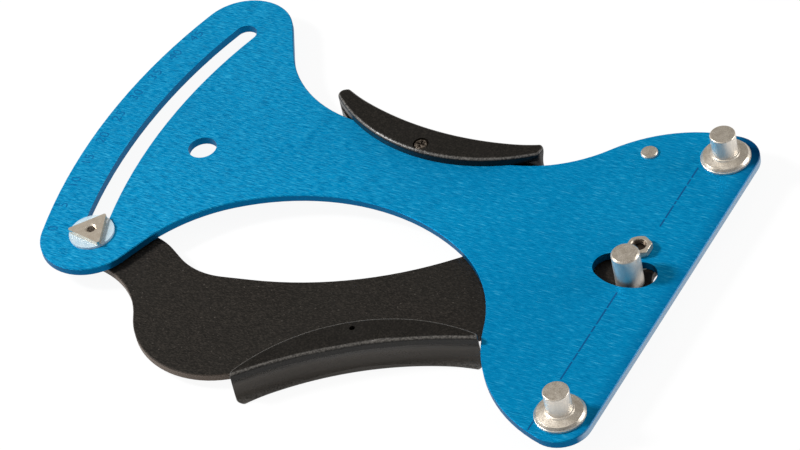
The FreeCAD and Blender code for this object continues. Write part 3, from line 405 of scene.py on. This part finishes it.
# Each corner of the half profile: its radius, its height over the plate and its rounding.
post_corners = (
    (0.0, post_top, 0),
    (post_shank, post_top, 0.42 * mm),
    (post_shank, root_height + 0.2 * mm, 0.25 * mm),
    (root_radius, root_height, 0.1 * mm),
    (root_radius + 0.12 * mm, root_height - 0.4 * mm, 0.12 * mm),
    (cone_radius - 0.65 * mm, cone_height + 0.77 * mm, 0.08 * mm),
    (cone_radius, cone_height, 0.06 * mm),
    (cone_radius + 0.05 * mm, rim_height + 0.12 * mm, 0.05 * mm),
    (post_rim, rim_height, 0.05 * mm),
    (post_rim, 0.02 * mm, 0.08 * mm),
    (spigot_radius, 0.0, 0),
    (spigot_radius, -plate_thickness, 0),
    (rivet_radius, -plate_thickness, 0.12 * mm),
    (rivet_radius - 0.6 * mm, rivet_foot, 0.2 * mm),
    (0.0, rivet_foot, 0),
)


def new_piece(name, mesh, material, body, slot, *replaced):
    """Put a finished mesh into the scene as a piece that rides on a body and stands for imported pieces."""
    mesh.materials.append(material)
    piece = bpy.data.objects.new(name, mesh)
    bpy.context.scene.collection.objects.link(piece)
    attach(piece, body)
    if replaced:
        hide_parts(*replaced)
    return piece


def middle_of(node):
    """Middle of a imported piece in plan, at the height of the scale plate's top."""
    low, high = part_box(node)
    return Vector(((low.x + high.x) / 2, (low.y + high.y) / 2, plate_top))


steel_finish = turned_steel()
post_profile = rounded_profile(post_corners)
for end in ("upper", "lower"):
    mesh = turned_mesh(f"turned_post_{end}", middle_of(f"{end}_fixed_post"), post_profile)
    new_piece(f"turned_post_{end}", mesh, steel_finish, "scale_body", "turned_steel", f"{end}_fixed_post")


# Spring anchor stud and lever spring stud. Turned steel studs that hold the return spring behind the
# plates. The anchor's flat riveted face shows on the scale plate as a small round button.
dress("spring_anchor_stud", steel_finish)
dress("lever_spring_stud", steel_finish)


# Moving post. The plain turned steel post on the lever that comes up through the window and pushes the
# spoke. Its straight shank has a small bevel round its top, and its foot is riveted behind the lever.
moving_middle = middle_of("moving_post")
moving_low, moving_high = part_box("moving_post")
moving_top = moving_high.z - plate_top
lever_top_depth = plate_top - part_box("lever_plate")[1].z
lever_bottom_depth = plate_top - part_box("lever_plate")[0].z
moving_foot = moving_low.z - plate_top
moving_shank = 4.9 * mm
moving_bevel = 0.55 * mm
moving_spigot = 3.2 * mm
moving_rivet = 4.3 * mm
moving_corners = (
    (0.0, moving_top, 0),
    (moving_shank - moving_bevel, moving_top, 0.1 * mm),
    (moving_shank, moving_top - moving_bevel, 0.15 * mm),
    (moving_shank, -lever_top_depth, 0.05 * mm),
    (moving_spigot, -lever_top_depth, 0),
    (moving_spigot, -lever_bottom_depth, 0),
    (moving_rivet, -lever_bottom_depth, 0.1 * mm),
    (moving_rivet, moving_foot, 0.25 * mm),
    (0.0, moving_foot, 0),
)
mesh = turned_mesh("moving_spoke_post", moving_middle, rounded_profile(moving_corners))
new_piece("moving_spoke_post", mesh, steel_finish, "lever_body", "turned_steel", "moving_post")


# Pivot nut and bolt. A thin hexagon nut on a steel bolt that comes from behind: both plates are held
# between them. The corners are chamfered and the thread shows in the nut's mouth.
flats_radius = 4.0 * mm
thread_pitch = 0.8 * mm
bolt_radius = 2.5 * mm
thread_depth = 0.38 * mm
thread_start = -0.9 * mm
chamfer_start = 0.97 * flats_radius
chamfer_slope = 1.0 / math.tan(math.radians(30))
nut_mouth = 0.30 * mm
bore_play = 0.03 * mm
hexagon_columns = 192


def hexagon_radius(angle):
    """Radius of a hexagon at an angle: half its width over flats, over the cosine from the flat's middle."""
    sector = math.tau / 6
    return flats_radius / np.cos((angle + sector / 2) % sector - sector / 2)


def thread_wave(height, angle):
    """Height of the thread's flank from 0 to 1: a wave of height over pitch less the share of a turn."""
    turn = (height / thread_pitch - angle / math.tau) % 1.0
    return np.clip(np.abs(turn - 0.5) * 2.6 - 0.3, 0, 1)


def hexagon_rows(angle, level, low, high, chamfer_low, chamfer_high):
    """Radius of a chamfered hexagon: the smaller of the hexagon and of cones that open from its faces."""
    limit = np.full_like(level, np.inf)
    if chamfer_low:
        limit = np.minimum(limit, chamfer_start + (level - low) * chamfer_slope)
    if chamfer_high:
        limit = np.minimum(limit, chamfer_start + (high - level) * chamfer_slope)
    return np.minimum(hexagon_radius(angle), limit)


def nut_mesh(centre, low, high):
    """Ring surface, row by row: up the hexagon's wall, in over the top, down the threaded bore, and out."""
    angle = np.linspace(0, math.tau, hexagon_columns + 1)
    wall_levels = np.linspace(low, high, 16)[:, None]
    wall = hexagon_rows(angle, wall_levels + 0 * angle, low, high, True, True)
    bore_levels = np.linspace(high - nut_mouth - 0.12 * mm, low + 0.2 * mm, 40)[:, None]
    crest = bolt_radius + bore_play
    bore = crest - thread_depth * thread_wave(bore_levels, angle)
    mouth = np.stack([np.full_like(angle, crest + nut_mouth), np.full_like(angle, crest + 0.04 * mm)])
    foot = np.full_like(angle, crest)[None]
    radius = np.concatenate([wall, mouth, bore, foot, wall[:1]])
    heights = np.concatenate([wall_levels, [[high], [high - nut_mouth]], bore_levels, [[low], [low]]])
    return ring_mesh("thin_pivot_nut", centre, angle, radius, heights)


def bolt_mesh(centre, head_low, head_high, end):
    """Closed surface, row by row: the head's underside, its chamfered wall, its top, then the shank. The
    shank's thread runs half a pitch off the nut's, so that crests lie in grooves."""
    angle = np.linspace(0, math.tau, hexagon_columns + 1)
    wall_levels = np.linspace(head_low, head_high, 14)[:, None]
    wall = hexagon_rows(angle, wall_levels + 0 * angle, head_low, head_high, True, False)
    plain = np.full((2, angle.size), bolt_radius)
    plain_levels = np.array([[head_high], [thread_start - 0.1 * mm]])
    thread_levels = np.linspace(thread_start, end - 0.3 * mm, 60)[:, None]
    groove = bolt_radius - thread_depth
    thread = groove + thread_depth * thread_wave(thread_levels + thread_pitch / 2, angle)
    tip = np.stack([np.full_like(angle, bolt_radius - 0.75 * mm), np.zeros_like(angle)])
    start = np.zeros((1, angle.size))
    radius = np.concatenate([start, wall, plain, thread, tip])
    heights = np.concatenate([[[head_low]], wall_levels, plain_levels, thread_levels, [[end], [end]]])
    return ring_mesh("threaded_pivot_bolt", centre, angle, radius, heights)


def plated_steel(name, bore_shade=False):
    """Zinc plated steel: warm grey, satin, with a fine grit. Painted shade in the bore darkens it near the
    bolt's
    axis: the distance from the axis in plan, over its radius, darkens the colour above the plates' middle."""
    material, tree, shader = new_finish(name, 0.88)
    blotches = grain(tree, (1.6 * mm, 1.6 * mm, 1.6 * mm), 2.0)
    grit = grain(tree, (0.36 * mm, 0.36 * mm, 0.36 * mm), 3.0)
    colour = shade(tree, blotches, (0.3, (0.66, 0.575, 0.465)), (0.7, (0.79, 0.71, 0.59)))
    colour = mixed(tree, spread(tree, grit, 0.0, 0.6, (0.42, 0.66)), colour, (0.38, 0.32, 0.26))
    # painted shade: the threaded bore goes dark brown within 2.45 to 2.85 mm of the axis, above the plates'
    # middle
    if bore_shade:
        place = add_node(tree, "ShaderNodeTexCoord").outputs["Object"]
        axis = (pivot.x, pivot.y, plate_top)
        away = add_node(tree, "ShaderNodeVectorMath", {0: place, 1: axis}, operation="SUBTRACT").outputs[0]
        parts = add_node(tree, "ShaderNodeSeparateXYZ", {"Vector": away}).outputs
        flat = add_node(tree, "ShaderNodeCombineXYZ", {"X": parts["X"], "Y": parts["Y"]}).outputs[0]
        radius = add_node(tree, "ShaderNodeVectorMath", {0: flat}, operation="LENGTH").outputs["Value"]
        inside = spread(tree, radius, 1.0, 0.0, (2.45 * mm, 2.85 * mm))
        above = spread(tree, parts["Z"], 0.0, 1.0, (-1.5 * mm, 0.0))
        painted_bore_shade = worked_out(tree, "MULTIPLY", inside, above)
        colour = mixed(tree, painted_bore_shade, colour, (0.06, 0.045, 0.032))
    tree.links.new(colour, shader.inputs["Base Color"])
    tree.links.new(spread(tree, grit, 0.32, 0.46), shader.inputs["Roughness"])
    add_bump(tree, shader, grit, 0.016 * mm, 0.75)
    return material


plated_finish = plated_steel("plated_steel")
# finish with painted shade in the bore, for the pivot nut and bolt
bore_shade_finish = plated_steel("bore_shade_plated_steel", bore_shade=True)
nut_low, nut_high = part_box("pivot_nut")
bolt_low, bolt_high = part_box("pivot_bolt")
rear_washer_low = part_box("rear_pivot_washer")[0]
pivot_middle = middle_of("pivot_nut")
mesh = nut_mesh(pivot_middle, nut_low.z - plate_top, nut_high.z - plate_top)
new_piece("thin_pivot_nut", mesh, bore_shade_finish, "scale_body", "plated_steel", "pivot_nut")
bolt_end = bolt_high.z - plate_top
mesh = bolt_mesh(pivot_middle, bolt_low.z - plate_top, rear_washer_low.z - plate_top, bolt_end)
new_piece("threaded_pivot_bolt", mesh, bore_shade_finish, "scale_body", "plated_steel", "pivot_bolt")
dress("rear_pivot_washer", plated_finish)


# Nylon washers and bush. The white nylon ring between the plates at the pivot, the bush that slides in
# the slot and the thin ring under the scale plate there: smooth and slightly waxy.
def smooth_nylon():
    """Milky nylon with a faint mottle and a soft shine."""
    material, tree, shader = new_finish("smooth_nylon", 0.0, Subsurface_Weight=0.15, Subsurface_Scale=0.002)
    mottle = grain(tree, (2.5 * mm, 2.5 * mm, 2.5 * mm), 2.0)
    colour = shade(tree, mottle, (0.3, (0.68, 0.67, 0.62)), (0.7, (0.80, 0.79, 0.75)))
    tree.links.new(colour, shader.inputs["Base Color"])
    tree.links.new(spread(tree, mottle, 0.32, 0.46), shader.inputs["Roughness"])
    add_bump(tree, shader, mottle, 0.01 * mm)
    return material


nylon_finish = smooth_nylon()
for node in ("pivot_washer", "pointer_bush", "slide_washer"):
    dress(node, nylon_finish)


# Lever plate. The black plate under the scale plate, cut from the same sheet and anodised black: a
# satin face with fine grain and a few pale specks, and paler, brownish walls.
def black_anodising():
    """Satin black with fine grain, sparse light specks and paler, brownish walls."""
    material, tree, shader = new_finish("black_anodising", 0.0, Specular_IOR_Level=0.14)
    fine = grain(tree, (0.9 * mm, 0.34 * mm, 0.5 * mm), 3.0)
    broad = grain(tree, (26 * mm, 18 * mm, 20 * mm), 2.0)
    specks = grain(tree, (0.9 * mm, 0.9 * mm, 0.9 * mm), 0.0)
    face = shade(tree, fine, (0.32, (0.0045, 0.0036, 0.0026)), (0.5, (0.0110, 0.0090, 0.0070)),
                 (0.69, (0.029, 0.024, 0.019)))
    face = mixed(tree, spread(tree, broad, 0.0, 0.3), face, (0.013, 0.012, 0.010))
    face = mixed(tree, spread(tree, specks, 0.0, 0.5, (0.77, 0.81)), face, (0.08, 0.07, 0.06))
    flatness = spread(tree, upward(tree), 0.0, 1.0, (0.4, 0.8))
    colour = mixed(tree, flatness, (0.110, 0.085, 0.068), face)
    tree.links.new(colour, shader.inputs["Base Color"])
    tree.links.new(spread(tree, fine, 0.44, 0.60), shader.inputs["Roughness"])
    add_bump(tree, shader, fine, 0.02 * mm, 0.8)
    return material


dress("lever_plate", black_anodising())


# Grips. Two like mouldings of glass-filled plastic, each with a channel that takes a plate's edge: one
# lip lies on top, the other below. They have the fine, even grain of a spark-eroded mould.
def moulded_plastic(name, node, cove_light_amount):
    """Black moulded plastic with a fine pebbled grain and softly rubbed, smoother patches. Painted
    highlights make the tips of the pebbles pale where the surface turns over. Painted light makes the steep
    cove paler with depth below the grip's top, and the corner close under the ridge stays dark as painted
    shade."""
    material, tree, shader = new_finish(name, 0.0, Specular_IOR_Level=0.26)
    pebbles = grain(tree, (0.62 * mm, 0.62 * mm, 0.62 * mm), 3.0)
    rubbed = grain(tree, (14 * mm, 14 * mm, 9 * mm), 2.0)
    colour = shade(tree, pebbles, (0.3, (0.0035, 0.0028, 0.0020)), (0.5, (0.0062, 0.0050, 0.0036)),
                   (0.70, (0.0150, 0.0123, 0.0094)))
    flatness = upward(tree)
    # painted highlight: pale pebble tips where the surface turns over from the top to the wall
    turned_over = shade(tree, flatness, (0.30, (0.0, 0.0, 0.0)), (0.62, (1.0, 1.0, 1.0)),
                        (0.86, (1.0, 1.0, 1.0)), (0.985, (0.0, 0.0, 0.0)))
    pebble_tips = spread(tree, pebbles, 0.3, 1.0, (0.36, 0.62))
    painted_edge_highlight = worked_out(tree, "MULTIPLY", turned_over, pebble_tips)
    colour = mixed(tree, painted_edge_highlight, colour, (0.130, 0.120, 0.108))
    # painted light and shade: steep walls get paler with depth below the grip's top, and the corner under
    # the ridge stays dark as painted shade
    level = place_parts(tree)["Z"]
    grip_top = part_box(node)[1].z
    painted_cove_light = spread(tree, level, cove_light_amount, 0.0, (grip_top - 6.2 * mm, grip_top - 3.4 * mm))
    steep = spread(tree, flatness, 1.0, 0.0, (0.4, 0.75))
    colour = mixed(tree, worked_out(tree, "MULTIPLY", painted_cove_light, steep), colour, (0.050, 0.042, 0.034))
    tree.links.new(colour, shader.inputs["Base Color"])
    patches = spread(tree, rubbed, 0.26, 0.36)
    fine = spread(tree, pebbles, -0.04, 0.06)
    tree.links.new(worked_out(tree, "ADD", fine, patches), shader.inputs["Roughness"])
    add_bump(tree, shader, pebbles, 0.06 * mm, 0.8)
    return material


# how strong the painted light and shade in the cove is on each grip
grip_cove_light_amount = {"upper_grip": 0.05, "lower_grip": 0.9}
for node, cove_light_amount in grip_cove_light_amount.items():
    dress(node, moulded_plastic(f"{node}_plastic", node, cove_light_amount))


# Grip screws and pointer screw. Small steel screws blackened in hot oxide: a deep satin black that has
# worn to bare steel in tiny spots.
def black_oxide():
    """Blackened steel with fine pale wear spots."""
    material, tree, shader = new_finish("black_oxide_steel", 0.75)
    wear = grain(tree, (0.5 * mm, 0.5 * mm, 0.5 * mm), 3.0)
    colour = shade(tree, wear, (0.36, (0.035, 0.027, 0.020)), (0.54, (0.095, 0.072, 0.052)),
                   (0.66, (0.34, 0.29, 0.24)))
    tree.links.new(colour, shader.inputs["Base Color"])
    tree.links.new(spread(tree, wear, 0.28, 0.42), shader.inputs["Roughness"])
    add_bump(tree, shader, wear, 0.01 * mm)
    return material


oxide_finish = black_oxide()
for node in ("upper_grip_screw", "lower_grip_screw", "pointer_screw"):
    dress(node, oxide_finish)


# Pointer washer. The pale, see-through nylon disc under the pointer that slides on the scale: the slot
# and the blue plate show faintly through it.
def clear_nylon():
    """Milky see-through nylon: part of the light goes straight through, and the rest scatters white."""
    material, tree, shader = new_finish("clear_nylon", 0.0, Alpha=0.60, Specular_IOR_Level=0.55)
    mottle = grain(tree, (1.8 * mm, 1.8 * mm, 1.8 * mm), 2.0)
    colour = shade(tree, mottle, (0.3, (0.50, 0.66, 0.75)), (0.7, (0.64, 0.76, 0.82)))
    tree.links.new(colour, shader.inputs["Base Color"])
    tree.links.new(spread(tree, mottle, 0.22, 0.36), shader.inputs["Roughness"])
    add_bump(tree, shader, mottle, 0.008 * mm)
    return material


dress("pointer_washer", clear_nylon())


# Pointer. A small triangle of plated steel, stamped and tumbled, its sharp corner towards the figures.
# It is tapped, and its screw comes up from behind through the bush.
dress("pointer", plated_finish)


# Return spring. Extension spring of drawn steel wire behind the plates, its hooks round the two studs:
# smooth grey wire with faint blotches.
def drawn_wire():
    """Grey drawn wire with soft blotches and a fairly sharp shine."""
    material, tree, shader = new_finish("drawn_spring_wire", 0.95)
    blotches = grain(tree, (1.1 * mm, 1.1 * mm, 1.1 * mm), 3.0)
    colour = shade(tree, blotches, (0.3, (0.38, 0.37, 0.35)), (0.7, (0.55, 0.54, 0.52)))
    tree.links.new(colour, shader.inputs["Base Color"])
    tree.links.new(spread(tree, blotches, 0.20, 0.34), shader.inputs["Roughness"])
    add_bump(tree, shader, blotches, 0.006 * mm)
    return material


dress("return_spring", drawn_wire())


# Table and light. The tool lies on a plain white table. A soft lamp from the left gives the shadows, a
# low one from the right lights the walls, and a weak one hangs overhead. The room is darker at the
# viewer's side.
table_reach = 3.0
table_drop = 0.05 * mm
table_white = 0.93
table_glow = 0.93


def white_table():
    """White to the camera and in reflections, with just the shadow of the tool left on it."""
    material, tree, shader = new_finish("white_table", 0.0)
    shader.inputs["Base Color"].default_value = (table_white, table_white, table_white, 1.0)
    shader.inputs["Roughness"].default_value = 0.9
    rays = add_node(tree, "ShaderNodeLightPath").outputs
    seen = worked_out(tree, "MAXIMUM", rays["Is Camera Ray"], rays["Is Glossy Ray"])
    seen = worked_out(tree, "MAXIMUM", seen, rays["Is Transmission Ray"])
    amount = worked_out(tree, "MULTIPLY", seen, table_glow)
    glow = add_node(tree, "ShaderNodeEmission", {"Color": (1, 1, 1, 1), "Strength": 1.0}).outputs[0]
    mix = add_node(tree, "ShaderNodeMixShader", {0: amount, 1: shader.outputs[0], 2: glow})
    tree.links.new(mix.outputs[0], tree.nodes["Material Output"].inputs["Surface"])
    return material


corner_signs = ((-1, -1), (1, -1), (1, 1), (-1, 1))
table_corners = [(x * table_reach, y * table_reach, -table_drop) for x, y in corner_signs]
table_mesh = bpy.data.meshes.new("table")
table_mesh.from_pydata(table_corners, [], [(0, 1, 2, 3)])
table_mesh.materials.append(white_table())
table = bpy.data.objects.new("table", table_mesh)
bpy.context.scene.collection.objects.link(table)

camera_azimuth = math.radians(37.688)
camera_elevation = math.radians(43.029)
camera_roll = math.radians(-13.352)
camera_distance = 1.420156
camera_target = Vector((pivot.x - 84.745 * mm, pivot.y - 15.760 * mm, plate_top))
back = Vector((math.sin(camera_azimuth) * math.cos(camera_elevation),
               -math.cos(camera_azimuth) * math.cos(camera_elevation), math.sin(camera_elevation)))
level_right = Vector((math.cos(camera_azimuth), math.sin(camera_azimuth), 0))
level_up = back.cross(level_right)
right = level_right * math.cos(camera_roll) + level_up * math.sin(camera_roll)
up = level_up * math.cos(camera_roll) - level_right * math.sin(camera_roll)

room = bpy.data.worlds.new("room")
bpy.context.scene.world = room
room.use_nodes = True
air = room.node_tree
direction = add_node(air, "ShaderNodeTexCoord").outputs["Generated"]
far_wall = Vector((-back.x, -back.y, back.z))
towards = add_node(air, "ShaderNodeVectorMath", {0: direction, 1: far_wall}, operation="DOT_PRODUCT")
share = spread(air, towards.outputs["Value"], 0.0, 1.0, (-1.0, 1.0))
room_colour = shade(air, share, (0.0, (0.12, 0.125, 0.135)), (0.45, (0.22, 0.23, 0.24)),
                    (0.72, (0.48, 0.48, 0.48)), (0.86, (0.42, 0.41, 0.40)), (0.96, (0.33, 0.32, 0.305)))
seen = add_node(air, "ShaderNodeLightPath").outputs["Is Camera Ray"]
tint = mixed(air, seen, room_colour, (1.0, 1.0, 1.0))
air.links.new(tint, air.nodes["Background"].inputs["Color"])
air.nodes["Background"].inputs["Strength"].default_value = 1.0


def soft_lamp(name, place, size, power):
    """Square lamp that faces the middle of the tool."""
    light = bpy.data.lights.new(name, "AREA")
    light.size = size
    light.energy = power
    lamp = bpy.data.objects.new(name, light)
    lamp.location = place
    lamp.rotation_euler = (Vector(place) - camera_target).to_track_quat("Z", "Y").to_euler()
    bpy.context.scene.collection.objects.link(lamp)


viewer_way = Vector((back.x, back.y, 0))
left_lamp_place = camera_target - right * 0.78 + Vector((0, 0, 0.62)) - viewer_way * 0.15
soft_lamp("left_lamp", left_lamp_place, 0.2, 14.0)
right_lamp_place = camera_target + level_right * 0.85 + Vector((0, 0, 0.22)) + viewer_way * 0.12
soft_lamp("right_lamp", right_lamp_place, 0.4, 3.0)
top_lamp_place = camera_target - level_right * 0.1 + Vector((0, 0, 1.15)) + viewer_way * 0.12
soft_lamp("top_lamp", top_lamp_place, 0.8, 1.2)

lens = bpy.data.cameras.new("photo_camera")
lens.sensor_fit = "HORIZONTAL"
lens.sensor_width = 36.0
lens.lens = 185.827
camera = bpy.data.objects.new("photo_camera", lens)
axes = Matrix((right, up, back)).transposed().to_4x4()
camera.matrix_world = Matrix.Translation(camera_target + back * camera_distance) @ axes
bpy.context.scene.collection.objects.link(camera)
bpy.context.scene.camera = camera
bpy.context.scene.view_settings.view_transform = "Standard"
